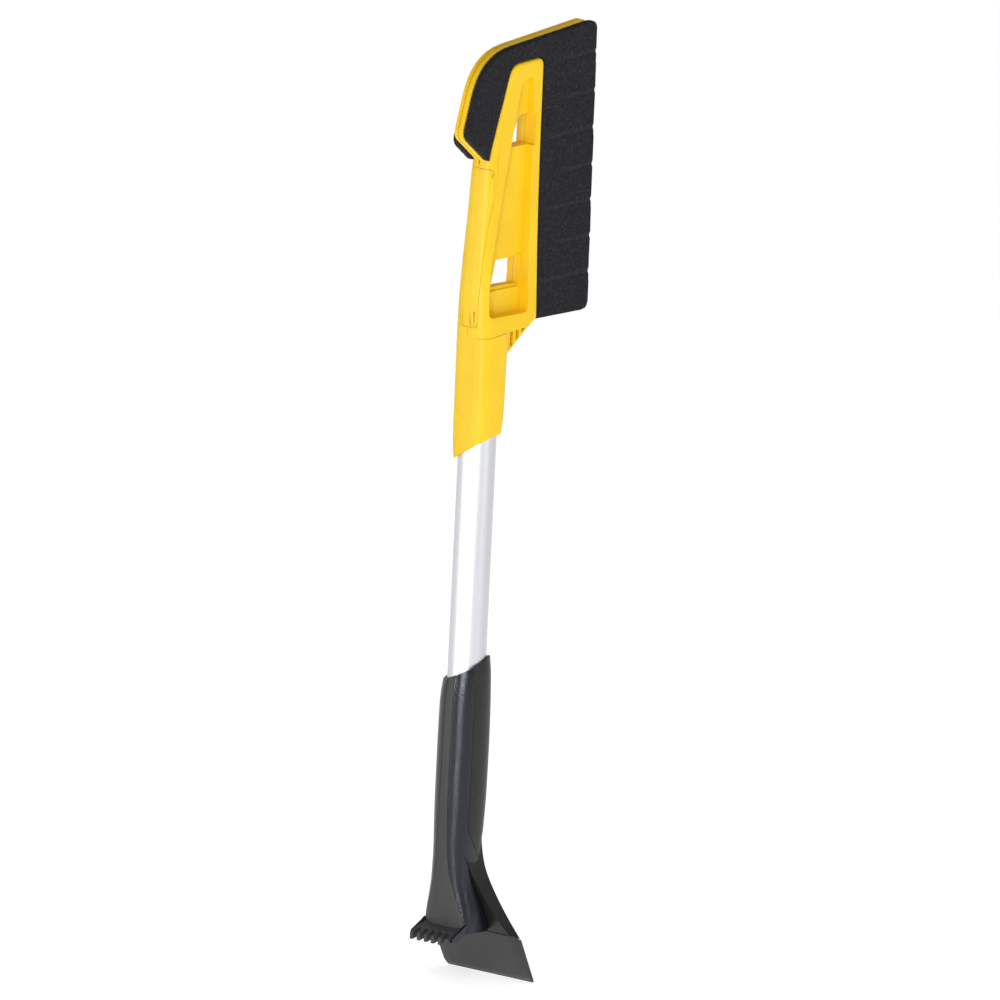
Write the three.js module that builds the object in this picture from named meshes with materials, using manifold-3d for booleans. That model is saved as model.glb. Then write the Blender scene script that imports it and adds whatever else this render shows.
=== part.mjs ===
// Long-handled windshield tool: a foam snow paddle on one end, an ice scraper on the other.
// Millimetres, +Z up along the aluminium tube. The tool stands on the cutting edge of its blade.
// Seen along +Y, the paddle reaches to +X and the spine of its arm faces -X.

import * as THREE from 'three';
import { mergeVertices } from 'three/addons/utils/BufferGeometryUtils.js';
import Module from 'manifold-3d';

const { clamp, lerp, mapLinear, smoothstep } = THREE.MathUtils;

// ---- driving dimensions ------------------------------------------------------------------

const GAP = 0.3; // clearance between touching pieces
const BBOX_CENTRE_X = 33.6; // from the tube's axis to the middle of the whole tool

const TUBE_RADIUS = 14;
const TUBE_WALL = 1.2;
const TUBE_BOTTOM = 112;
const TUBE_TOP = 470;
const PLUG_LENGTH = 40;

const PLATE_HALF = 4; // half thickness of the paddle plate
const PLATE_EDGE_ROUND = 1;
const RIM_GROOVE_WIDTH = 1.4;
const RIM_GROOVE_DEPTH = 1.2;
const PLATE_RIGHT = 98;
const PADDLE_BOTTOM = 491;
const CHAMFER_SLOPE = 0.79; // fall of the paddle's lower left edge
const FOAM_THICKNESS = 6;
const FOAM_LIP = 0.3; // yellow left showing round the front pad
const FOAM_RIGHT_TOP = 102;
const FOAM_RIGHT_BOTTOM = 106;

const SEAM = { height: 485.4, alongX: 0.087, alongY: 0 }; // arm above, collar below
const ARM_FOOT = 478; // the arm's outline runs down past the seam and is cut there
const ARM_TOP = 687.5;
const ARM_HALF_TOP = 10;
const ARM_HALF_BOTTOM = 16;
const ARM_EDGE_ROUND = 2;
const SPINE_ROUND = 8;
const POCKET_FLOOR = 5.8; // distance of the pocket floors from the middle plane

const FRONT_POCKET_WALL = 33.5; // +X walls of the two pockets
const REAR_POCKET_WALL = 41;

const COVER_THICKNESS = 1.6;
const COVER_EDGE_X = -7; // where the panel ends on the arm's faces, at its top
const COVER_HALF_FOOT = 8; // half widths at its foot and top
const COVER_HALF_TOP = 11.5;
const COVER_BOTTOM = 492;
const COVER_TOP = 610;

const COLLAR_HALF = 15.9;
const COLLAR_CORNER = 10;
const COLLAR_RIM = { height: 400.7, alongX: 0.181, alongY: -0.547 }; // slanted lower rim
const TONGUE = { left: -6, right: 24, half: 3.5, top: 504 };

const MOUTH = { height: 235, alongX: 0.33, alongY: -0.44 }; // slanted mouth of the grip
const INLAY_THICKNESS = 1.8;
const INLAY_EDGE = [[-8.5, 300], [-8.5, 116], [25, 62], [25, 36]]; // inlays in front of it, core behind

const COMB_HALF = 18.2;
const COMB_TIP_X = -28.5;
const TOOTH_COUNT = 6;
const TOOTH_THICKNESS = 2.7;

const BLADE_HALF_TOP = 39.8;
const BLADE_HALF_BOTTOM = 41;

const YELLOW = new THREE.MeshStandardMaterial({ color: 0xffd21f, roughness: 0.42, metalness: 0 });
const FOAM = new THREE.MeshStandardMaterial({ color: 0x2c2c30, roughness: 0.95, metalness: 0 });
const ALUMINIUM = new THREE.MeshStandardMaterial({ color: 0xd9dade, roughness: 0.35, metalness: 1 });
const BLACK = new THREE.MeshStandardMaterial({ color: 0x2a2b2e, roughness: 0.5, metalness: 0 });
const TEXTURED = new THREE.MeshStandardMaterial({ color: 0x1c1f26, roughness: 0.3, metalness: 0 });
const STEEL = new THREE.MeshStandardMaterial({ color: 0xb6b8bc, roughness: 0.3, metalness: 1 });
const NATURAL = new THREE.MeshStandardMaterial({ color: 0xd8d6cc, roughness: 0.6, metalness: 0 });

// ---- solids and booleans -----------------------------------------------------------------

const wasm = await Module();
wasm.setup();

const tool = new THREE.Group();
tool.position.x = -BBOX_CENTRE_X;

function solid(geometry) {
  geometry.deleteAttribute('normal');
  geometry.deleteAttribute('uv');
  const merged = mergeVertices(geometry, 1e-4);
  return new wasm.Manifold(new wasm.Mesh({
    numProp: 3,
    vertProperties: new Float32Array(merged.attributes.position.array),
    triVerts: new Uint32Array(merged.index.array),
  }));
}

function addPiece(name, body, material) {
  const result = body.getMesh();
  const geometry = new THREE.BufferGeometry();
  geometry.setAttribute('position', new THREE.BufferAttribute(result.vertProperties, 3));
  geometry.setIndex(new THREE.BufferAttribute(result.triVerts, 1));
  geometry.computeVertexNormals();
  const mesh = new THREE.Mesh(geometry, material.clone());
  mesh.name = name;
  tool.add(mesh);
}

function join(...bodies) {
  return bodies.reduce((sum, body) => sum.add(body));
}

function block(x0, x1, y0, y1, z0, z1) {
  const geometry = new THREE.BoxGeometry(x1 - x0, y1 - y0, z1 - z0);
  geometry.translate((x0 + x1) / 2, (y0 + y1) / 2, (z0 + z1) / 2);
  return solid(geometry);
}

function rod(radius, z0, z1, segments = 48) {
  const geometry = new THREE.CylinderGeometry(radius, radius, z1 - z0, segments);
  geometry.rotateX(Math.PI / 2);
  geometry.translate(0, 0, (z0 + z1) / 2);
  return solid(geometry);
}

// A polygon of [across, up, cornerRadius] points as a shape with rounded corners.
function outline(corners) {
  const shape = new THREE.Shape();
  corners.forEach(([across, up, radius = 0], i) => {
    const corner = new THREE.Vector2(across, up);
    const before = new THREE.Vector2(...corners.at(i - 1).slice(0, 2));
    const after = new THREE.Vector2(...corners[(i + 1) % corners.length].slice(0, 2));
    const start = corner.clone().add(before.sub(corner).setLength(radius));
    const end = corner.clone().add(after.sub(corner).setLength(radius));
    if (i === 0) {
      shape.moveTo(start.x, start.y);
    } else {
      shape.lineTo(start.x, start.y);
    }
    if (radius > 0) shape.quadraticCurveTo(corner.x, corner.y, end.x, end.y);
  });
  shape.closePath();
  return shape;
}

function extruded(shape, depth, round, curveSegments, steps = 1) {
  return new THREE.ExtrudeGeometry(shape, {
    depth: depth - 2 * round,
    curveSegments,
    steps,
    bevelEnabled: round > 0,
    bevelThickness: round,
    bevelSize: round,
    bevelOffset: -round,
    bevelSegments: 3,
  }).translate(0, 0, round);
}

// An XZ outline given thickness from y0 to y1, with rounded edges where round > 0.
function slab(shape, y0, y1, round = 0, curveSegments = 8) {
  const geometry = extruded(shape, y1 - y0, round, curveSegments);
  geometry.rotateX(Math.PI / 2);
  geometry.translate(0, y1, 0);
  return solid(geometry);
}

// A YZ outline given thickness from x0 to x1.
function lengthways(shape, x0, x1, curveSegments = 8) {
  const geometry = extruded(shape, x1 - x0, 0, curveSegments);
  geometry.rotateX(Math.PI / 2);
  geometry.rotateZ(Math.PI / 2);
  geometry.translate(x0, 0, 0);
  return solid(geometry);
}

// Moves every vertex of a geometry with a function that changes the vertex in place.
function sculpt(geometry, move) {
  const position = geometry.attributes.position;
  const vertex = new THREE.Vector3();
  for (let i = 0; i < position.count; i += 1) {
    move(vertex.fromBufferAttribute(position, i));
    position.setXYZ(i, vertex.x, vertex.y, vertex.z);
  }
  return geometry;
}

// The part of space below (or above) a slanted plane, as a tall block with a sheared end.
function beyondSlant(slant, direction) {
  const reach = 200;
  const geometry = new THREE.BoxGeometry(2 * reach, 2 * reach, reach);
  sculpt(geometry, (v) => {
    const onPlane = v.z * direction < 0;
    v.z = slant.height + (onPlane ? 0 : 2 * reach * direction) + slant.alongX * v.x + slant.alongY * v.y;
  });
  return solid(geometry);
}

// ---- paddle and arm ----------------------------------------------------------------------

function plateOutline(inset) {
  return outline([
    [-39.9 + inset, 637 + inset * 0.6, 6],
    [-23.4 + inset, 696.5 - inset, 32],
    [PLATE_RIGHT - inset, 708.4 - inset, 7],
    [PLATE_RIGHT - inset, PADDLE_BOTTOM + 2 + inset, 5],
    [5, PADDLE_BOTTOM + 2 + inset],
    [-4, 608.5 + inset],
  ]);
}

function armOutline(grow = 0) {
  return outline([
    [-16.6 - grow, ARM_FOOT],
    [-18.2 - grow, 512, 8],
    [-17 - grow, 545],
    [-14.8 - grow, 583],
    [-13.4 - grow, 617, 14],
    [8.6 - grow, 685.5 + grow, 9],
    [44 + grow, ARM_TOP + grow, 7],
    [43.9 + grow, 617],
    [43.8 + grow, 583],
    [43.7 + grow, 545],
    [43.5 + grow, 492.6, 3],
    [36.5, 488.9],
    [34, ARM_FOOT],
  ]);
}

// Half thickness of the arm, which swells towards the collar.
function armHalf(z) {
  const down = clamp((ARM_TOP - z) / (ARM_TOP - ARM_FOOT), 0, 1);
  return lerp(ARM_HALF_TOP, ARM_HALF_BOTTOM, down ** 2.2);
}

// The arm as one body across both shells. Below the plate its spine, on -X, is boldly rounded.
function armBody(grow = 0) {
  const half = ARM_HALF_TOP + grow;
  const geometry = extruded(armOutline(grow), 2 * half, ARM_EDGE_ROUND, 8, 14);
  geometry.rotateX(Math.PI / 2);
  geometry.translate(0, half, 0);
  return solid(sculpt(geometry, (v) => {
    const turn = clamp((Math.abs(v.y) - (half - SPINE_ROUND)) / SPINE_ROUND, 0, 1);
    const nearSpine = clamp((22 - v.x) / 14, 0, 1)
      * (1 - smoothstep(v.z, 614, 634));
    v.x += nearSpine * SPINE_ROUND * (1 - Math.sqrt(1 - turn * turn));
    v.y *= armHalf(v.z) / ARM_HALF_TOP;
  }));
}

// Recess between the two ribs of the arm, up to its +X wall.
function pocketOutline(wall) {
  return outline([
    [-10.5, 499, 5],
    [-10.5, 530, 20],
    [19.5, 672, 6],
    [wall, 675, 4],
    [wall - 0.8, 499, 5],
  ]);
}

const UPPER_WINDOW = [[11.9, 622.8], [36.4, 622.8], [36.6, 646.4], [24.6, 646.4], [22.4, 644.6]];
const LOWER_WINDOW = [[-1, 519.6], [30.8, 519.2], [30.8, 539.4], [3.8, 539.4]];
const LEDGE = [[-1.6, 516.6], [31, 517.2], [31, 542.6], [4.4, 542.2]]; // outer step of the lower window

// Both windows go right through; the lower one has a shallow outer step in each face.
function windows() {
  const prism = (corners, y0, y1) => slab(outline(corners.map(([x, z]) => [x, z, 0.8])), y0, y1, 0, 3);
  const step = POCKET_FLOOR - 2;
  return join(prism(UPPER_WINDOW, -30, 30), prism(LOWER_WINDOW, -30, 30),
    prism(LEDGE, -30, -step), prism(LEDGE, step, 30));
}

const SHELL_SCREWS = [[-4, 596], [-10.5, 511], [36.8, 656], [36.6, 508]];
const SCREW = { head: 3.2, headHeight: 2.2, shank: 1.5, length: 12, seat: 5 };

function screwBody(clearance) {
  const headTop = SCREW.seat + SCREW.headHeight;
  const profile = [
    [0, SCREW.seat - SCREW.length - clearance],
    [SCREW.shank + clearance, SCREW.seat - SCREW.length + 1 - clearance],
    [SCREW.shank + clearance, SCREW.seat - clearance],
    [SCREW.head + clearance, SCREW.seat - clearance],
    [SCREW.head + clearance, headTop - 0.6],
    [SCREW.head - 0.6 + clearance, headTop],
    [0, headTop],
  ].map(([r, h]) => new THREE.Vector2(r, h));
  const geometry = new THREE.LatheGeometry(profile, 20);
  return solid(geometry);
}

function shellScrew([x, z], clearance) {
  return screwBody(clearance).translate([x, 0, z]);
}

// The access hole from the rear face down to each screw head.
function screwWell([x, z]) {
  const geometry = new THREE.CylinderGeometry(SCREW.head + 0.5, SCREW.head + 0.5, 30, 20);
  geometry.translate(x, SCREW.seat + SCREW.headHeight - 0.1 + 15, z);
  return solid(geometry);
}

// Slot between the two shells for the collar's tongue.
function tongueSlot() {
  return block(TONGUE.left - GAP, TONGUE.right + GAP, -TONGUE.half - GAP, TONGUE.half + GAP,
    ARM_FOOT, TONGUE.top + GAP);
}

function rimGroove() {
  const half = RIM_GROOVE_WIDTH / 2;
  return slab(plateOutline(-2), -half, half).subtract(slab(plateOutline(RIM_GROOVE_DEPTH), -2, 2));
}

// The panel wrapped round the spine, or with a margin the seat it lies in.
function coverBand(skin, margin) {
  const top = COVER_TOP + margin;
  const foot = COVER_BOTTOM - margin;
  const across = lengthways(outline([
    [-COVER_HALF_FOOT - margin, foot, 4],
    [COVER_HALF_FOOT + margin, foot, 4],
    [COVER_HALF_TOP + margin, top],
    [-COVER_HALF_TOP - margin, top],
  ]), -40, 0);
  const side = slab(outline([
    [-40, foot], [COVER_EDGE_X - 3 + margin, foot], [COVER_EDGE_X + margin, top, 6], [-40, top],
  ]), -30, 30);
  return armBody().subtract(armBody(-skin)).intersect(across).intersect(side);
}

function addHead() {
  const plate = slab(plateOutline(0), -PLATE_HALF, PLATE_HALF, PLATE_EDGE_ROUND);
  const front = slab(pocketOutline(FRONT_POCKET_WALL), -40, -POCKET_FLOOR);
  const rear = slab(pocketOutline(REAR_POCKET_WALL), POCKET_FLOOR, 40);
  const cuts = join(front, rear, windows(), tongueSlot(), rimGroove(), coverBand(COVER_THICKNESS + GAP, GAP),
    ...SHELL_SCREWS.map((place) => shellScrew(place, GAP)), ...SHELL_SCREWS.map(screwWell));
  const whole = join(plate, armBody()).subtract(cuts).subtract(beyondSlant(SEAM, -1));
  const far = 200;
  const middle = GAP / 2;
  addPiece('head_shell_front', largest(whole.intersect(block(-far, far, -far, -middle, 400, 800))), YELLOW);
  addPiece('head_shell_rear', largest(whole.intersect(block(-far, far, middle, far, 400, 800))), YELLOW);
  addPiece('spine_cover', coverBand(COVER_THICKNESS, 0), YELLOW);
  SHELL_SCREWS.forEach((place, i) => addPiece(`shell_screw_${i + 1}`, shellScrew(place, 0), STEEL));
}

function padOutline(left, top, foot) {
  return outline([
    [-39.9 + left, 637 - CHAMFER_SLOPE * left + foot, 6],
    [-23.4 + left, 696.5 - top, 32],
    [FOAM_RIGHT_TOP, 708.6 - top, 8],
    [FOAM_RIGHT_BOTTOM, PADDLE_BOTTOM, 7],
    [10, PADDLE_BOTTOM],
    [-4, 608.5 + foot],
  ]);
}

function addFoamPads() {
  const base = PLATE_HALF + GAP;
  const face = PLATE_HALF + GAP + FOAM_THICKNESS;
  const around = slab(armOutline(0.8), -40, 40);
  const front = slab(padOutline(FOAM_LIP, FOAM_LIP, FOAM_LIP), -face, -base).subtract(around);
  const rear = slab(padOutline(6.8, 4, -1.5), base, face).subtract(around);
  addPiece('foam_pad_front', largest(front), FOAM);
  addPiece('foam_pad_rear', largest(rear), FOAM);
}

// The biggest of the separate bodies that a cut leaves.
function largest(body) {
  return body.decompose().reduce((best, each) => (each.volume() > best.volume() ? each : best));
}

// ---- collar ------------------------------------------------------------------------------

function atSlant(slant, x, y) {
  return slant.height + slant.alongX * x + slant.alongY * y;
}

// The rounded-square sleeve round the tube: it narrows downwards and rolls in at its slanted rim.
function collarSleeve() {
  const half = COLLAR_HALF;
  const top = 500;
  const roll = 22;
  const shape = outline([[-half, -half], [half, -half], [half, half], [-half, half]]
    .map(([x, y]) => [x, y, COLLAR_CORNER]));
  const geometry = new THREE.ExtrudeGeometry(shape, { depth: 1, steps: 14, curveSegments: 7, bevelEnabled: false });
  return solid(sculpt(geometry, (v) => {
    const rim = atSlant(COLLAR_RIM, v.x, v.y);
    const along = v.z ** 2;
    v.z = lerp(rim, top, along);
    const curl = Math.max(0, 1 - (v.z - rim) / roll) ** 2;
    const width = mapLinear(v.z, top, rim, 1, 0.96) - 0.06 * curl;
    v.x *= width;
    v.y *= width;
  }));
}

// Triangular gusset under the arm's +X end: a middle rib with upright fins on both sides.
function gusset() {
  const wall = COLLAR_HALF - 2;
  const tip = 39.5;
  const foot = 467;
  const top = 500;
  const half = 10.5;
  const slotWidth = 3.4;
  const crown = atSlant(SEAM, tip, 0) - 1.4;
  const underside = (x) => foot + (x - wall) * ((crown - foot) / (tip - wall));
  const blank = slab(outline([
    [wall - 4, foot - 4], [wall, foot], [tip, crown], [tip, top], [wall - 4, top],
  ]), -half, half);
  const slots = [19, 25.2, 31.4].map((x) => slab(outline([
    [x, underside(x) + 1.6],
    [x + slotWidth, underside(x + slotWidth) + 1.6],
    [x + slotWidth, atSlant(SEAM, x + slotWidth, 0) - 1.6],
    [x, atSlant(SEAM, x, 0) - 1.6],
  ]), -half - 1, half + 1));
  const rib = block(0, 60, -1.3, 1.3, foot - 10, top + 5);
  return blank.subtract(join(...slots).subtract(rib));
}

function addCollar() {
  const tongue = block(TONGUE.left, TONGUE.right, -TONGUE.half, TONGUE.half, 470, TONGUE.top);
  const bore = rod(TUBE_RADIUS + GAP, 300, TUBE_TOP + GAP);
  const seam = { ...SEAM, height: SEAM.height - GAP };
  const socket = join(collarSleeve(), gusset()).subtract(beyondSlant(seam, 1));
  addPiece('collar', join(socket, tongue).subtract(bore).subtract(sideScrew(440, GAP)), YELLOW);
  addPiece('collar_screw', sideScrew(440, 0), STEEL);
}

// A screw through the rear (+Y) wall of a socket, through the tube and into the plug inside it.
const SIDE_SCREW = { head: 3.6, headTop: 16.4, seat: 14.9, shank: 1.7, tip: 6 };

function sideScrew(z, clearance) {
  const { head, headTop, seat, shank, tip } = SIDE_SCREW;
  const profile = [
    [0, tip - clearance],
    [shank + clearance, tip + 1.5 - clearance],
    [shank + clearance, seat - clearance],
    [head + clearance, seat - clearance],
    [head + clearance, headTop + (clearance > 0 ? 10 : -0.5)],
    [head - 0.5 + clearance, headTop + (clearance > 0 ? 10 : 0)],
    [0, headTop + (clearance > 0 ? 10 : 0)],
  ].map(([r, h]) => new THREE.Vector2(r, h));
  return solid(new THREE.LatheGeometry(profile, 20)).translate([0, 0, z]);
}

// ---- tube --------------------------------------------------------------------------------

function addTube() {
  const bore = TUBE_RADIUS - TUBE_WALL;
  const screws = join(sideScrew(440, GAP), sideScrew(190, GAP));
  const tube = rod(TUBE_RADIUS, TUBE_BOTTOM, TUBE_TOP, 64).subtract(rod(bore, TUBE_BOTTOM - 5, TUBE_TOP + 5, 64));
  addPiece('handle_tube', tube.subtract(screws), ALUMINIUM);
  addPiece('tube_plug_top', rod(bore - GAP, TUBE_TOP - PLUG_LENGTH - 10, TUBE_TOP - 1, 32).subtract(screws), NATURAL);
  addPiece('tube_plug_bottom', rod(bore - GAP, 172, 172 + PLUG_LENGTH, 32).subtract(screws), NATURAL);
}

// ---- grip and scraper --------------------------------------------------------------------

// Stations down the handle: height, reach to -X, reach to +X, half width in Y, squareness.
const HANDLE_STATIONS = [
  [256, 17.2, 17.2, 16.4, 2.2],
  [240, 17.9, 18, 16.8, 2.2],
  [226, 18.4, 18.6, 17.1, 2.2],
  [210, 18.8, 19.1, 17.3, 2.25],
  [180, 19.2, 19.6, 17.4, 2.3],
  [140, 19.4, 19, 17.2, 2.3],
  [116, 19.2, 17.4, 16.4, 2.4],
  [97, 18.6, 14.6, 15.4, 2.6],
  [76, 16.8, 13.4, 16.2, 3.2],
  [58, 15.2, 15.6, 20.2, 3.3],
  [48, 14.4, 18.4, 21.6, 3.5],
  [40, 13.6, 20.4, 22, 3.6],
];

// The oval handle body, lofted through the stations past its mouth; inset draws its skin in.
function handleBody(inset) {
  const last = HANDLE_STATIONS.length - 1;
  const roll = 16;
  const sizes = new THREE.CatmullRomCurve3(HANDLE_STATIONS.map(
    ([, front, rear, side]) => new THREE.Vector3(front - inset, rear - inset, side - inset),
  ));
  const levels = new THREE.CatmullRomCurve3(HANDLE_STATIONS.map(
    ([z, , , , squareness]) => new THREE.Vector3(z, squareness, 0),
  ));
  const geometry = new THREE.CylinderGeometry(1, 1, 1, 36, 2 * last);
  geometry.rotateX(Math.PI / 2);
  sculpt(geometry, (v) => {
    const t = clamp(0.5 - v.z, 0, 1);
    const size = sizes.getPoint(t);
    const { x: z, y: squareness } = levels.getPoint(t);
    const swell = (value) => (Math.abs(value) < 1e-9 ? 0 : Math.sign(value) * Math.abs(value) ** (2 / squareness));
    const onRim = Math.hypot(v.x, v.y) > 0.5;
    v.x = onRim ? swell(v.x) * (v.x < 0 ? size.x : size.y) : 0;
    v.y = onRim ? swell(v.y) * size.z : 0;
    v.z = z;
    const curl = clamp(1 - (atSlant(MOUTH, v.x, v.y) - z) / roll, 0, 1) ** 2;
    v.x *= 1 - 0.07 * curl;
    v.y *= 1 - 0.07 * curl;
  });
  return solid(geometry);
}

// A closed shape mirrored about its vertical axis, from [half width, height] points going down.
function symmetric(profile) {
  const points = profile.map(([across, up]) => new THREE.Vector2(across, up));
  const mirrored = profile.map(([across, up]) => new THREE.Vector2(-across, up)).reverse();
  const shape = new THREE.Shape();
  shape.moveTo(points[0].x, points[0].y);
  shape.splineThru(points.slice(1));
  shape.lineTo(mirrored[0].x, mirrored[0].y);
  shape.splineThru(mirrored.slice(1));
  shape.closePath();
  return shape;
}

const FAN_HALF = [[13, 112], [14.2, 99], [17, 84.5], [22.1, 68], [30.1, 50], [38.8, 34.7], [40, 30]];
const FAN_FRONT = [[-9, 112], [-9, 99], [-3.8, 84.5], [3.8, 68], [12.3, 50], [18.1, 38.4]];
const FAN_REAR = [[29, 34.4], [24, 50], [18, 68], [12.9, 84.5], [11, 99], [10.5, 112]];

// The fan at the rear of the handle that spreads out to carry the blade.
function fan() {
  const toVector = ([x, z]) => new THREE.Vector2(x, z);
  const side = new THREE.Shape();
  side.moveTo(...FAN_FRONT[0]);
  side.splineThru(FAN_FRONT.slice(1).map(toVector));
  side.lineTo(...FAN_REAR[0]);
  side.splineThru(FAN_REAR.slice(1).map(toVector));
  side.closePath();
  return slab(side, -50, 50, 0, 14).intersect(lengthways(symmetric(FAN_HALF), -40, 60, 14));
}

const KEEL_HALF = [[3, 250], [3.4, 200], [3.8, 140], [5.8, 90], [10.2, 72], [15, 58], [17.6, 48], [18.2, 36]];

// Front view of the hard keel strip that runs down the grip and spreads into the ice comb.
function keelZone(margin) {
  return lengthways(symmetric(KEEL_HALF.map(([y, z]) => [y + margin, z])), -40, -6, 7);
}

// The inlays' ends, which run out beside the comb's outer teeth.
function combCheeks() {
  const profile = outline([
    [-10.4, 41], [-10.4, 47], [-14, 44.6, 1], [-25, 38.6, 1.5], [-26, 35.4, 1], [-20, 35],
  ]);
  const near = COMB_HALF + GAP;
  return [slab(profile, -near - 2, -near), slab(profile, near, near + 2)];
}

function comb() {
  const plate = slab(outline([
    [-10.6, 40.6], [-10.6, 45.5], [-13.6, 43.8, 1], [COMB_TIP_X, 38, 1], [COMB_TIP_X, 32.6], [-20, 34.4],
  ]), -COMB_HALF, COMB_HALF);
  const pitch = (2 * COMB_HALF - TOOTH_THICKNESS) / (TOOTH_COUNT - 1);
  const slots = [];
  for (let i = 0; i < TOOTH_COUNT - 1; i += 1) {
    const start = -COMB_HALF + TOOTH_THICKNESS + i * pitch;
    const width = pitch - TOOTH_THICKNESS;
    slots.push(block(COMB_TIP_X - 2, -20.4, start, start + width, 20, 60));
  }
  return plate.subtract(join(...slots));
}

function addHandle() {
  const outer = handleBody(0);
  const hollow = handleBody(INLAY_THICKNESS);
  const inner = handleBody(INLAY_THICKNESS + GAP);
  const mouth = beyondSlant(MOUTH, 1);
  const openings = join(mouth, rod(TUBE_RADIUS + GAP, TUBE_BOTTOM - GAP, 320));
  const frontZone = slab(outline([...INLAY_EDGE, [-60, 36], [-60, 300]]), -60, 60);
  const rearZone = slab(outline([...INLAY_EDGE.map(([x, z]) => [x + GAP, z + GAP]), [60, 36], [60, 300]]), -60, 60);
  const fanBody = fan();

  const core = join(inner, outer.intersect(rearZone), fanBody);
  addPiece('scraper_core', largest(core.subtract(openings).subtract(sideScrew(190, GAP))), BLACK);
  addPiece('grip_screw', sideScrew(190, 0), STEEL);

  const skin = outer.intersect(frontZone).subtract(hollow).subtract(openings).subtract(keelZone(GAP));
  const clear = join(fanBody.translate([-GAP, 0, 0]), fanBody.translate([0, 0, GAP]));
  const inlays = join(skin, ...combCheeks()).subtract(clear);
  addPiece('grip_inlay_front', largest(inlays.intersect(block(-60, 60, -60, 0, 0, 300))), TEXTURED);
  addPiece('grip_inlay_rear', largest(inlays.intersect(block(-60, 60, 0, 60, 0, 300))), TEXTURED);
  const chipper = join(outer.intersect(keelZone(0)), comb()).subtract(hollow).subtract(openings);
  addPiece('ice_chipper', largest(chipper), BLACK);
}

// The blade is a wedge whose two ends fall back from its front face.
function addBlade() {
  const profile = outline([[18.3, 37.8, 0.6], [29.2, 33.8], [45, 0], [43.6, 0.3], [38.6, 5]]);
  const endWidth = 8.5;
  const fallBack = 2.6;
  const inner = BLADE_HALF_BOTTOM - endWidth;
  const outer = BLADE_HALF_BOTTOM + 1;
  const middle = slab(profile, -inner, inner);
  const ends = [-1, 1].map((side) => {
    const geometry = extruded(profile, outer - inner, 0, 8);
    geometry.rotateX(Math.PI / 2);
    geometry.translate(0, side > 0 ? outer : -inner, 0);
    return solid(sculpt(geometry, (v) => {
      const atFront = v.x < mapLinear(v.z, 34, 0, 28, 44);
      if (atFront && Math.abs(v.y) > inner + 1) v.x += fallBack * (v.z / 38);
    }));
  });
  const face = lengthways(outline([
    [-BLADE_HALF_BOTTOM, 0, 2], [BLADE_HALF_BOTTOM, 0, 2], [BLADE_HALF_TOP, 40], [-BLADE_HALF_TOP, 40],
  ]), -20, 80);
  addPiece('scraper_blade', join(middle, ...ends).intersect(face), BLACK);
}

addHead();
addFoamPads();
addCollar();
addTube();
addHandle();
addBlade();

export default tool;
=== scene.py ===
"""Looks for the long-handled windshield scraper: yellow foam paddle, aluminium tube, black scraper grip."""

import math

import bmesh
import bpy
import numpy as np
from mathutils import Matrix, Vector


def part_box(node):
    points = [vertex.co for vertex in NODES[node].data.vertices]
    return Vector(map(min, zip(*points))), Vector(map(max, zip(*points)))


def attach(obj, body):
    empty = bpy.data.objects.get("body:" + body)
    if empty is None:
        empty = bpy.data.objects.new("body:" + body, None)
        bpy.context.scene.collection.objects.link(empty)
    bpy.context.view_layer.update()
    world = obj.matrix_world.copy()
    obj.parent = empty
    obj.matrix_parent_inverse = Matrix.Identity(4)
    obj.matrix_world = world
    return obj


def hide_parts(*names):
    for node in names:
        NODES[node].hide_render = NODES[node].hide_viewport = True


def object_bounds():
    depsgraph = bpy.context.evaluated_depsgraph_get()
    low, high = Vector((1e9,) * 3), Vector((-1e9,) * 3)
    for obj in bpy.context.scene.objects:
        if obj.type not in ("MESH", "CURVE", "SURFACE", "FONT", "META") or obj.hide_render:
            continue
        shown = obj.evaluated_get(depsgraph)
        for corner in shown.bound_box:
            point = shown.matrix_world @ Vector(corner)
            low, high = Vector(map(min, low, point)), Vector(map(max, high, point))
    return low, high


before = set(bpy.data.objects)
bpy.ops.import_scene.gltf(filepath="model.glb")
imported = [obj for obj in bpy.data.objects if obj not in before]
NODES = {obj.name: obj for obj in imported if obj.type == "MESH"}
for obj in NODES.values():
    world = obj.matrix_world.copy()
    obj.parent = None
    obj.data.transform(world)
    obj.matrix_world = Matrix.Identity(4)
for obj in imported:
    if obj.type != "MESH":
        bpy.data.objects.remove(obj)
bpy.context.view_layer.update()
MM = 0.001

# The tube's axis is the reference that heights and reaches are measured from.
TUBE_LOW, TUBE_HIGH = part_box("handle_tube")
AXIS_X = (TUBE_LOW.x + TUBE_HIGH.x) / 2

VIEW_AZIMUTH = math.radians(50)
VIEW_ELEVATION = math.radians(12)
VIEW_ROLL = math.radians(2.73)
FRAME_WIDTH = 0.7309
CAMERA_DISTANCE = 3
FRAME_FOOT = -1.3 * MM
FRAME_CENTRE = (35.35 * MM, 353.0 * MM)  # across and up from the tube's axis at FRAME_FOOT


# ---- shading helpers ---------------------------------------------------------------------


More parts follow.
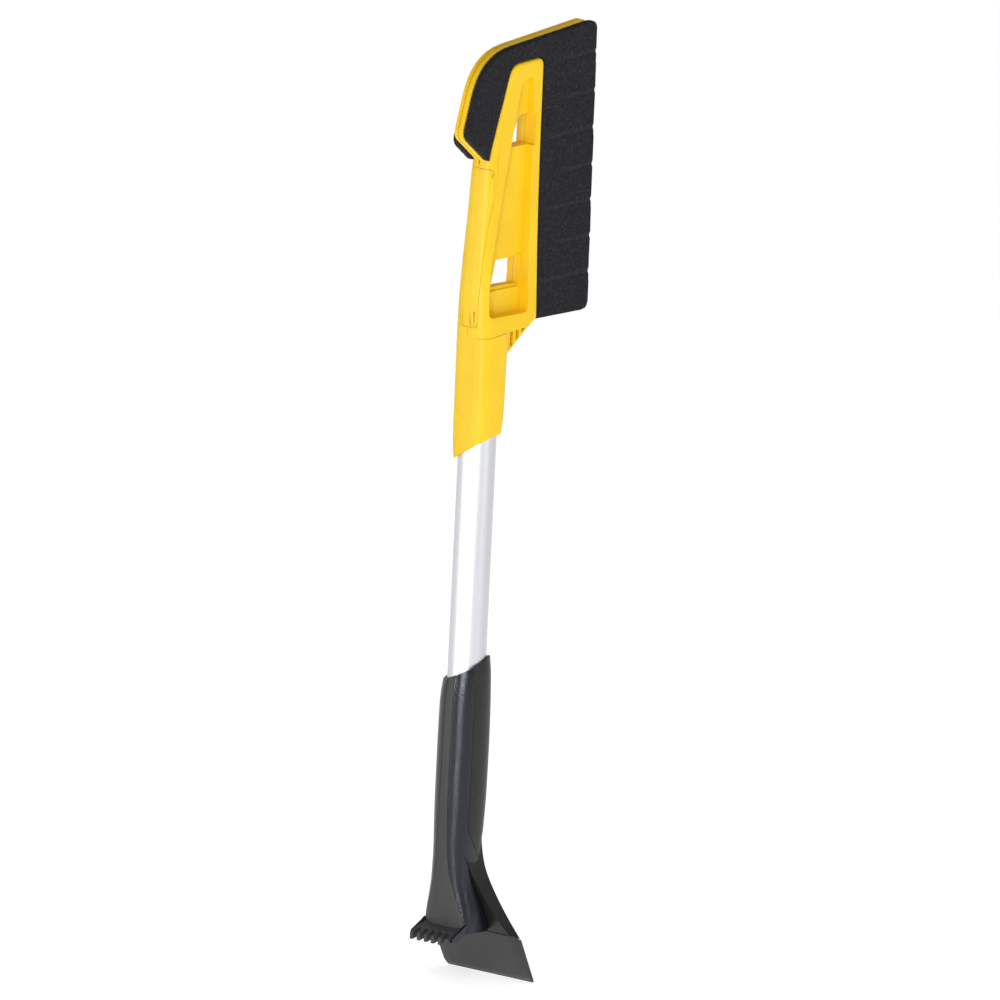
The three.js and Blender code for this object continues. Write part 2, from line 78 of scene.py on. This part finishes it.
class Nodes:
    """A short way to write one material's node tree."""

    def __init__(self, name):
        self.material = bpy.data.materials.new(name)
        self.material.use_nodes = True
        self.tree = self.material.node_tree
        self.shader = self.tree.nodes["Principled BSDF"]
        self.coord = self.tree.nodes.new("ShaderNodeTexCoord")

    def add(self, kind, **values):
        node = self.tree.nodes.new(kind)
        for key, value in values.items():
            if hasattr(node, key):
                setattr(node, key, value)
            else:
                node.inputs[key.replace("_", " ")].default_value = value
        return node

    def link(self, source, target):
        self.tree.links.new(source, target)

    def place(self, scale):
        """Object coordinates, stretched along the axes."""
        mapping = self.add("ShaderNodeMapping")
        mapping.inputs["Scale"].default_value = scale
        self.link(self.coord.outputs["Object"], mapping.inputs["Vector"])
        return mapping.outputs["Vector"]

    def noise(self, scale, detail=3.0, rough=0.55, stretch=(1, 1, 1)):
        node = self.add("ShaderNodeTexNoise", Scale=scale, Detail=detail, Roughness=rough)
        self.link(self.place(stretch), node.inputs["Vector"])
        return node.outputs["Fac"]

    def cells(self, scale):
        node = self.add("ShaderNodeTexVoronoi", Scale=scale)
        self.link(self.place((1, 1, 1)), node.inputs["Vector"])
        return node.outputs["Distance"]

    def ramp(self, value, stops):
        node = self.add("ShaderNodeValToRGB")
        ramp = node.color_ramp
        while len(ramp.elements) < len(stops):
            ramp.elements.new(0.5)
        for element, (position, colour) in zip(ramp.elements, stops):
            element.position = position
            element.color = (*colour, 1) if len(colour) == 3 else colour
        self.link(value, node.inputs["Fac"])
        return node.outputs["Color"]

    def remap(self, value, low, high, start=0.0, end=1.0):
        """Stretches start..end to low..high."""
        node = self.add("ShaderNodeMapRange")
        for key, number in (("From Min", start), ("From Max", end), ("To Min", low), ("To Max", high)):
            node.inputs[key].default_value = number
        self.link(value, node.inputs["Value"])
        return node.outputs["Result"]

    def math(self, operation, first, second):
        node = self.add("ShaderNodeMath", operation=operation)
        for slot, value in zip(node.inputs, (first, second)):
            if isinstance(value, (int, float)):
                slot.default_value = value
            else:
                self.link(value, slot)
        return node.outputs["Value"]

    def bump(self, height, strength, distance, base=None):
        node = self.add("ShaderNodeBump", Strength=strength, Distance=distance)
        self.link(height, node.inputs["Height"])
        if base is not None:
            self.link(base, node.inputs["Normal"])
        return node.outputs["Normal"]

    def finish(self, colour=None, roughness=None, normal=None, **fixed):
        for value, name in ((colour, "Base Color"), (roughness, "Roughness"), (normal, "Normal")):
            if value is not None:
                self.link(value, self.shader.inputs[name])
        for key, value in fixed.items():
            self.shader.inputs[key.replace("_", " ")].default_value = value
        return self.material


def yellow_plastic():
    """Satin injection-moulded polypropylene: faint flow clouds and a fine spark-eroded grain."""
    n = Nodes("yellow_plastic")
    clouds = n.noise(22, 4, 0.6)
    colour = n.ramp(clouds, [(0.3, (0.9, 0.56, 0.006)), (0.52, (0.93, 0.6, 0.01)),
                             (0.75, (0.95, 0.64, 0.016))])
    grain = n.noise(2600, 2, 0.5)
    sink = n.noise(34, 2, 0.4)
    rough = n.remap(n.noise(90, 4, 0.65), 0.36, 0.5)
    normal = n.bump(grain, 0.12, 0.00012, n.bump(sink, 0.25, 0.0006))
    return n.finish(colour, rough, normal, Subsurface_Weight=0.05, Subsurface_Scale=0.004,
                    Subsurface_Radius=(1.0, 0.7, 0.1), Specular_IOR_Level=0.28, IOR=1.49)


def foam():
    """Fine closed-cell foam: pin-prick pores in a dusty charcoal skin, with a painted highlight along the
    pressed channels.
    """
    n = Nodes("foam")
    pores = n.cells(950)
    large = n.cells(310)
    mottle = n.noise(420, 4, 0.6)
    pressed = n.add("ShaderNodeAttribute", attribute_name="pressed").outputs["Fac"]
    # Paler along the pressed channels: a painted highlight for the light on the channel floors, added to
    # the random mottle.
    mottle_and_channel_highlight = n.math("ADD", mottle, n.remap(pressed, 0.0, 0.2))
    tone = n.math("ADD", n.remap(pores, -0.2, 0.22, 0.1, 0.75), mottle_and_channel_highlight)
    colour = n.ramp(tone, [(0.3, (0.008, 0.008, 0.0105)), (0.62, (0.017, 0.017, 0.021)),
                           (0.95, (0.036, 0.037, 0.042))])
    fine = n.bump(pores, 0.9, 0.0005)
    deep = n.bump(n.remap(large, 0.0, 1.0, 0.0, 0.35), 0.7, 0.0006, fine)
    normal = n.bump(mottle, 0.5, 0.0005, deep)
    return n.finish(colour, n.remap(mottle, 0.86, 1.0), normal, Specular_IOR_Level=0.2)


def aluminium():
    """Satin anodised tube: fine lengthwise drawing lines and faint handling marks."""
    n = Nodes("aluminium")
    lines = n.noise(900, 3, 0.6, (1, 1, 0.012))
    marks = n.noise(60, 4, 0.6, (1, 1, 0.3))
    colour = n.ramp(lines, [(0.3, (0.58, 0.585, 0.61)), (0.7, (0.63, 0.635, 0.66))])
    rough = n.math("ADD", n.remap(lines, 0.36, 0.42), n.remap(marks, -0.03, 0.05))
    normal = n.bump(lines, 0.05, 0.00004)
    return n.finish(colour, rough, normal, Metallic=1.0, Anisotropic=0.2)


def black_plastic():
    """Semi-matte charcoal moulding with a faint flow pattern."""
    n = Nodes("black_plastic")
    flow = n.noise(45, 5, 0.6, (1, 1, 0.35))
    colour = n.ramp(flow, [(0.3, (0.009, 0.0085, 0.0085)), (0.7, (0.017, 0.0162, 0.0162))])
    grain = n.noise(2200, 2, 0.5)
    rough = n.remap(n.noise(120, 4, 0.6), 0.34, 0.47)
    normal = n.bump(grain, 0.14, 0.00012, n.bump(flow, 0.2, 0.0004))
    return n.finish(colour, rough, normal, Specular_IOR_Level=0.32)


def chipper_plastic():
    """The grey, matter centre strip that ends in the comb."""
    n = Nodes("chipper_plastic")
    flow = n.noise(40, 5, 0.6, (1, 1, 0.3))
    colour = n.ramp(flow, [(0.3, (0.038, 0.038, 0.04)), (0.7, (0.056, 0.056, 0.059))])
    rough = n.remap(n.noise(150, 4, 0.6), 0.38, 0.5)
    normal = n.bump(n.noise(2400, 2, 0.5), 0.12, 0.0001)
    return n.finish(colour, rough, normal, Specular_IOR_Level=0.32)


def textured_plastic():
    """Glossy blue-black skin with a fine pebble grain that breaks its highlights into sparkle."""
    n = Nodes("textured_plastic")
    pebbles = n.cells(1350)
    patches = n.noise(300, 4, 0.65)
    colour = n.ramp(patches, [(0.3, (0.002, 0.0028, 0.0055)), (0.7, (0.005, 0.0068, 0.012))])
    rough = n.remap(patches, 0.17, 0.27)
    normal = n.bump(pebbles, 0.26, 0.0004, n.bump(patches, 0.08, 0.0003))
    return n.finish(colour, rough, normal, Specular_IOR_Level=0.5,
                    Specular_Tint=(0.86, 0.92, 1.0, 1.0))


def blade_plastic():
    """Smooth hard blade with fine streaky scuffs."""
    n = Nodes("blade_plastic")
    scuffs = n.noise(320, 4, 0.7, (1, 0.12, 1))
    broad = n.noise(30, 3, 0.5)
    colour = n.ramp(broad, [(0.3, (0.024, 0.0235, 0.0245)), (0.7, (0.036, 0.0355, 0.037))])
    rough = n.math("ADD", n.remap(scuffs, 0.3, 0.5), n.remap(broad, -0.04, 0.04))
    normal = n.bump(scuffs, 0.08, 0.0001)
    return n.finish(colour, rough, normal, Specular_IOR_Level=0.32)


def steel():
    """Zinc-plated screw."""
    n = Nodes("steel")
    rings = n.noise(700, 3, 0.6)
    colour = n.ramp(rings, [(0.3, (0.5, 0.51, 0.52)), (0.7, (0.68, 0.69, 0.7))])
    return n.finish(colour, n.remap(rings, 0.25, 0.42), n.bump(rings, 0.15, 0.0001), Metallic=1.0)


def natural_plastic():
    """Unpigmented moulding."""
    n = Nodes("natural_plastic")
    clouds = n.noise(60, 4, 0.6)
    colour = n.ramp(clouds, [(0.3, (0.62, 0.6, 0.54)), (0.7, (0.72, 0.7, 0.64))])
    return n.finish(colour, n.remap(clouds, 0.45, 0.6), n.bump(clouds, 0.2, 0.0004))


# ---- surface clean-up --------------------------------------------------------------------


WELD_DISTANCE = 0.002 * MM


def smoothing_group(angle):
    """A node group that welds facets together and shades them smooth up to an angle."""
    group = bpy.data.node_groups.new(f"weld_and_smooth_{round(math.degrees(angle))}", "GeometryNodeTree")
    group.interface.new_socket("Geometry", in_out="INPUT", socket_type="NodeSocketGeometry")
    group.interface.new_socket("Geometry", in_out="OUTPUT", socket_type="NodeSocketGeometry")
    made = {}
    for key, kind in (("in", "NodeGroupInput"), ("weld", "GeometryNodeMergeByDistance"),
                      ("faces", "GeometryNodeSetShadeSmooth"), ("edges", "GeometryNodeSetShadeSmooth"),
                      ("angle", "GeometryNodeInputMeshEdgeAngle"), ("sharp", "FunctionNodeCompare"),
                      ("out", "NodeGroupOutput")):
        made[key] = group.nodes.new(kind)
    made["weld"].inputs["Distance"].default_value = WELD_DISTANCE
    made["faces"].domain = "FACE"
    made["edges"].domain = "EDGE"
    made["edges"].inputs["Shade Smooth"].default_value = False
    made["sharp"].operation = "GREATER_THAN"
    made["sharp"].inputs[1].default_value = angle
    joins = group.links.new
    joins(made["in"].outputs[0], made["weld"].inputs["Geometry"])
    joins(made["weld"].outputs[0], made["faces"].inputs["Geometry"])
    joins(made["faces"].outputs[0], made["edges"].inputs["Geometry"])
    joins(made["angle"].outputs["Unsigned Angle"], made["sharp"].inputs[0])
    joins(made["sharp"].outputs[0], made["edges"].inputs["Selection"])
    joins(made["edges"].outputs[0], made["out"].inputs[0])
    return group


SMOOTH = smoothing_group(math.radians(32))
SMOOTHER = smoothing_group(math.radians(60))
BEVEL_ANGLE = math.radians(38)


def refine(obj, material, bevel, smooth=SMOOTH):
    """Welds and smooths a CAD node, rounds its edges, and gives it its material."""
    obj.data.materials.clear()
    obj.data.materials.append(material)
    custom = obj.data.attributes.get("custom_normal")
    if custom is not None:
        obj.data.attributes.remove(custom)
    weld = obj.modifiers.new("weld", "NODES")
    weld.node_group = smooth
    if bevel > 0:
        rounding = obj.modifiers.new("rounding", "BEVEL")
        rounding.width = bevel
        rounding.segments = 2
        rounding.limit_method = "ANGLE"
        rounding.angle_limit = BEVEL_ANGLE
        rounding.use_clamp_overlap = True
        again = obj.modifiers.new("smooth", "NODES")
        again.node_group = smooth
    even = obj.modifiers.new("even_normals", "WEIGHTED_NORMAL")
    even.keep_sharp = True


# ---- foam pads ---------------------------------------------------------------------------

# Pressed channels: height at X = CHANNEL_REFERENCE, and where each begins, in mm from the tube's axis.
CHANNELS = [(683.8, 60), (654.5, 66), (626.8, 50), (599.0, 66), (572.7, 50), (545.6, 68), (518.9, 55)]
CHANNEL_REFERENCE = 80
CHANNEL_RISE = 0.035
CHANNEL_HALF = 1.7
CHANNEL_DEPTH = 0.55
NOTCH_DEPTH = 0.35
UNEVENNESS = 0.1
PAD_VOXEL = 1.0 * MM
PAD_WELD = 0.005 * MM


def smooth_step(low, high, values):
    t = np.clip((values - low) / (high - low), 0, 1)
    return t * t * (3 - 2 * t)


def soft_slab(pad):
    """The pad's own slab, remeshed evenly and relaxed so that its edges turn soft."""
    weld = pad.modifiers.new("weld", "WELD")
    weld.merge_threshold = PAD_WELD
    voxels = pad.modifiers.new("voxels", "REMESH")
    voxels.mode = "VOXEL"
    voxels.voxel_size = PAD_VOXEL
    voxels.use_smooth_shade = True
    relax = pad.modifiers.new("relax", "SMOOTH")
    relax.factor = 0.5
    relax.iterations = 3
    depsgraph = bpy.context.evaluated_depsgraph_get()
    mesh = bpy.data.meshes.new_from_object(pad.evaluated_get(depsgraph))
    pad.modifiers.clear()
    pad.data = mesh
    return mesh


def channel_strength(x, z):
    """How far each point lies in a pressed channel, from 0 to 1."""
    strength = np.zeros(len(x))
    for height, start in CHANNELS:
        line = height + CHANNEL_RISE * (x - CHANNEL_REFERENCE)
        across = np.exp(-(((z - line) / CHANNEL_HALF) ** 4))
        along = smooth_step(start - 6, start + 10, x)
        strength = np.maximum(strength, across * along)
    return strength


def foam_pad(node, outward, material):
    """A foam pad from its CAD slab: soft edges, pressed channels and a slightly uneven skin."""
    pad = bpy.data.objects.new(node.replace("foam_pad", "foam_cushion"), NODES[node].data.copy())
    bpy.context.scene.collection.objects.link(pad)
    mesh = soft_slab(pad)

    low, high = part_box(node)
    points = np.empty(len(mesh.vertices) * 3)
    mesh.vertices.foreach_get("co", points)
    points = points.reshape(-1, 3)
    x = (points[:, 0] - AXIS_X) / MM
    z = points[:, 2] / MM
    face, back = (high.y, low.y) if outward > 0 else (low.y, high.y)
    exposure = np.clip((points[:, 1] - back) / (face - back), 0, 1)
    right = (high.x - AXIS_X) / MM

    channel = channel_strength(x, z)
    wave = np.sin(x * 0.11 + 1.3) * np.sin(z * 0.083) + 0.6 * np.sin(x * 0.31 + z * 0.19)
    depth = CHANNEL_DEPTH * channel + UNEVENNESS * wave
    notch = NOTCH_DEPTH * channel * smooth_step(right - 7, right - 1, x)
    points[:, 1] -= outward * MM * depth * smooth_step(0.45, 0.95, exposure)
    points[:, 0] -= MM * notch
    mesh.vertices.foreach_set("co", points.ravel())
    # The channel strength also drives the painted highlight in the foam's colour.
    mesh.attributes.new("pressed", "FLOAT", "POINT").data.foreach_set("value", channel)
    mesh.update()
    mesh.materials.clear()
    mesh.materials.append(material)
    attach(pad, "root")
    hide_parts(node)


# ---- object ------------------------------------------------------------------------------

YELLOW = yellow_plastic()
FOAM = foam()
ALUMINIUM = aluminium()
BLACK = black_plastic()
CHIPPER = chipper_plastic()
TEXTURED = textured_plastic()
BLADE = blade_plastic()
STEEL = steel()
NATURAL = natural_plastic()

# Each node's material and edge rounding, and its smoothing where it isn't the usual one.
LOOKS = {
    "head_shell_front": (YELLOW, 0.35 * MM),
    "head_shell_rear": (YELLOW, 0.35 * MM),
    "spine_cover": (YELLOW, 0.0, SMOOTHER),
    "collar": (YELLOW, 0.35 * MM),
    "handle_tube": (ALUMINIUM, 0.15 * MM),
    "scraper_core": (BLACK, 0.35 * MM),
    "grip_inlay_front": (TEXTURED, 0.25 * MM),
    "grip_inlay_rear": (TEXTURED, 0.25 * MM),
    "ice_chipper": (CHIPPER, 0.25 * MM),
    "scraper_blade": (BLADE, 0.3 * MM),
    "collar_screw": (STEEL, 0.1 * MM),
    "grip_screw": (STEEL, 0.1 * MM),
    "tube_plug_top": (NATURAL, 0.2 * MM),
    "tube_plug_bottom": (NATURAL, 0.2 * MM),
}
LOOKS.update({f"shell_screw_{i}": (STEEL, 0.1 * MM) for i in range(1, 5)})

for name, look in LOOKS.items():
    refine(NODES[name], *look)

foam_pad("foam_pad_front", -1, FOAM)
foam_pad("foam_pad_rear", 1, FOAM)


# ---- stage -------------------------------------------------------------------------------


def camera_axes():
    """The camera's right, up and forward directions, with its roll."""
    ca, sa = math.cos(VIEW_AZIMUTH), math.sin(VIEW_AZIMUTH)
    ce, se = math.cos(VIEW_ELEVATION), math.sin(VIEW_ELEVATION)
    forward = Vector((sa * ce, ca * ce, -se))
    side = Vector((ca, -sa, 0))
    up = Vector((sa * se, ca * se, ce))
    cr, sr = math.cos(VIEW_ROLL), math.sin(VIEW_ROLL)
    return side * cr + up * sr, up * cr - side * sr, forward


def add_camera():
    right, up, forward = camera_axes()
    foot = Vector((AXIS_X, 0, FRAME_FOOT))
    centre = foot + right * FRAME_CENTRE[0] + up * FRAME_CENTRE[1]
    data = bpy.data.cameras.new("camera")
    data.type = "ORTHO"
    data.ortho_scale = FRAME_WIDTH
    data.clip_end = 20
    camera = bpy.data.objects.new("camera", data)
    bpy.context.scene.collection.objects.link(camera)
    turn = Matrix((right, up, -forward)).transposed().to_4x4()
    camera.matrix_world = Matrix.Translation(centre - forward * CAMERA_DISTANCE) @ turn
    bpy.context.scene.camera = camera


def softbox(name, position, target, size, power):
    data = bpy.data.lights.new(name, "AREA")
    data.shape = "RECTANGLE"
    data.size, data.size_y = size
    data.energy = power
    light = bpy.data.objects.new(name, data)
    bpy.context.scene.collection.objects.link(light)
    aim = Vector(target) - Vector(position)
    light.matrix_world = Matrix.Translation(position) @ aim.to_track_quat("-Z", "Y").to_matrix().to_4x4()
    return light


FLOOR_HALF = 30
FLOOR_GAP = 0.5 * MM


def add_floor():
    """A wide pale floor just under the cutting edge."""
    mesh = bpy.data.meshes.new("floor")
    form = bmesh.new()
    bmesh.ops.create_grid(form, x_segments=2, y_segments=2, size=FLOOR_HALF)
    form.to_mesh(mesh)
    form.free()
    floor = bpy.data.objects.new("floor", mesh)
    floor.location = (0, 0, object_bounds()[0][2] - FLOOR_GAP)
    bpy.context.scene.collection.objects.link(floor)
    n = Nodes("floor")
    tone = n.ramp(n.noise(3, 2, 0.5), [(0.3, (0.9, 0.9, 0.9)), (0.7, (0.92, 0.92, 0.92))])
    mesh.materials.append(n.finish(tone, None, None, Roughness=0.9, Specular_IOR_Level=0.1,
                                   Emission_Color=(1, 1, 1, 1), Emission_Strength=0.66))


# Name, place, size and power of the lights: three softboxes, then two strips that only make highlights,
# one along the spine's side and one along the grip's.
SOFTBOXES = [
    ("key", (-2.1, -1.2, 1.0), (0.35, 1.9), 22),
    ("front", (0.3, -2.3, 0.9), (0.4, 1.6), 8),
    ("rim", (2.0, 0.6, 0.8), (0.4, 1.6), 4),
]
STRIPS = [
    ("strip_left", (-1.39, 0.56, 0.5), (0.07, 1.0), 8),
    ("strip_front", (-2.16, -0.9, 0.5), (0.07, 1.0), 26),
]
SOFTBOX_TARGET = (0, 0, 0.35)
STRIP_TARGET = (0, 0, 0.5)
WORLD_STRENGTH = 0.36


def add_lights():
    world = bpy.data.worlds.new("studio")
    bpy.context.scene.world = world
    world.use_nodes = True
    background = world.node_tree.nodes["Background"]
    background.inputs["Color"].default_value = (1, 1, 1, 1)
    background.inputs["Strength"].default_value = WORLD_STRENGTH
    for name, place, size, power in SOFTBOXES:
        softbox(name, place, SOFTBOX_TARGET, size, power)
    for name, place, size, power in STRIPS:
        strip = softbox(name, place, STRIP_TARGET, size, power)
        strip.visible_diffuse = False


add_floor()
add_camera()
add_lights()
bpy.context.scene.view_settings.view_transform = "Standard"
bpy.context.scene.view_settings.look = "None"

bpy.context.view_layer.update()
